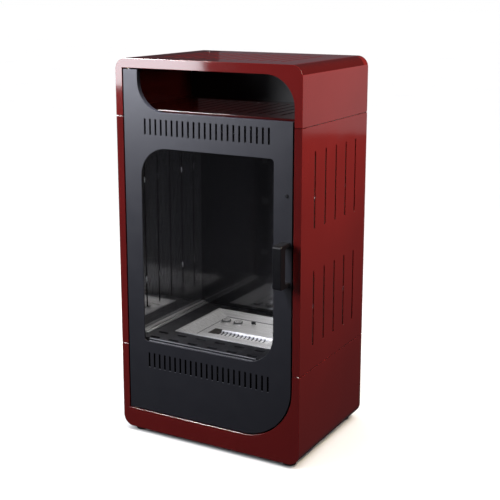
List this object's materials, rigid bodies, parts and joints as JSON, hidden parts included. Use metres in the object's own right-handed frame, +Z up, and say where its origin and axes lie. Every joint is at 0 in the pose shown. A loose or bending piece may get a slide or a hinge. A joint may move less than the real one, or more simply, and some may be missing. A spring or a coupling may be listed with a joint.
{
  "type": "bioethanol fireplace",
  "caption": "Free-standing cabinet bioethanol stove with a glazed hinged door, a mirror-lined fire chamber with a lift-out burner, and an open warming niche on top.",
  "frame": {"origin": "on the floor, at the middle of the whole outline's box, handle included", "axes": "+Z up, front with the door towards -Y, +X to the right when looking at the door"},
  "size_m": [0.45, 0.3668, 0.85],
  "materials": {
    "red_enamel": "gloss",
    "anthracite_enamel": "satin",
    "hearth_enamel": "matt",
    "handle_plastic": "satin",
    "mirror_steel": "polished",
    "brushed_steel": "brushed",
    "bright_steel": "bright",
    "zinc_steel": "zinc plated",
    "bronze": "sintered",
    "clear_glass": "clear",
    "rubber": "matt",
    "black_plastic": "matt",
    "ceramic_wool": "fibrous"
  },
  "bodies": {
    "cabinet": {"hood_shell": "red_enamel", "side_panel_left": "red_enamel", "side_panel_right": "red_enamel", "base_shell": "red_enamel", "rear_panel": "anthracite_enamel", "rear_screws": "zinc_steel", "tie_plates": "zinc_steel", "tie_nuts": "zinc_steel", "shelf_supports": "zinc_steel", "niche_floor": "red_enamel", "niche_back": "anthracite_enamel", "hearth_supports": "zinc_steel", "hearth_plate": "hearth_enamel", "hearth_rail_left": "bright_steel", "hearth_rail_right": "bright_steel", "liner_left": "mirror_steel", "liner_right": "mirror_steel", "liner_back": "mirror_steel", "liner_top": "mirror_steel", "liner_spacers": "zinc_steel", "hinge_plate_upper": "zinc_steel", "hinge_plate_lower": "zinc_steel", "hinge_bush_upper": "bronze", "hinge_bush_lower": "bronze", "catch_bracket": "zinc_steel", "catch_magnet": "black_plastic", "feet": "rubber", "foot_screws": "zinc_steel", "foot_nuts": "zinc_steel"},
    "door": {"door_panel": "anthracite_enamel", "door_glass": "clear_glass", "glass_seal": "rubber", "glass_rail": "bright_steel", "glass_clips": "zinc_steel", "clip_screws": "zinc_steel", "door_handle": "handle_plastic", "handle_screws": "zinc_steel", "hinge_block_upper": "zinc_steel", "hinge_block_lower": "zinc_steel", "hinge_pin_upper": "zinc_steel", "hinge_pin_lower": "zinc_steel", "hinge_washer": "zinc_steel", "strike_bolt": "anthracite_enamel", "strike_plate": "zinc_steel"},
    "burner": {"burner_tray": "brushed_steel", "flame_trough": "bright_steel", "fuel_tank": "hearth_enamel", "wool_pad": "ceramic_wool", "filler_necks": "brushed_steel", "slide_guides": "brushed_steel"},
    "filler_cap": {"filler_cap": "bright_steel"},
    "vent_cap": {"vent_cap": "bright_steel"},
    "regulator": {"regulator_slide": "brushed_steel", "regulator_knob": "black_plastic"}
  },
  "joints": [
    {"name": "door_hinge", "type": "hinge", "parent": "cabinet", "child": "door", "pos_m": [-0.1925, -0.1364, 0.44225], "axis": [0, 0, -1], "range_deg": [0, 110]},
    {"name": "burner_lift", "type": "slide", "parent": "cabinet", "child": "burner", "axis": [0, 0, 1], "range_m": [0, 0.12]},
    {"name": "filler_cap_lift", "type": "slide", "parent": "burner", "child": "filler_cap", "axis": [0, 0, 1], "range_m": [0, 0.03]},
    {"name": "vent_cap_lift", "type": "slide", "parent": "burner", "child": "vent_cap", "axis": [0, 0, 1], "range_m": [0, 0.03]},
    {"name": "regulator_shift", "type": "slide", "parent": "burner", "child": "regulator", "axis": [1, 0, 0], "range_m": [0, 0.005]}
  ]
}
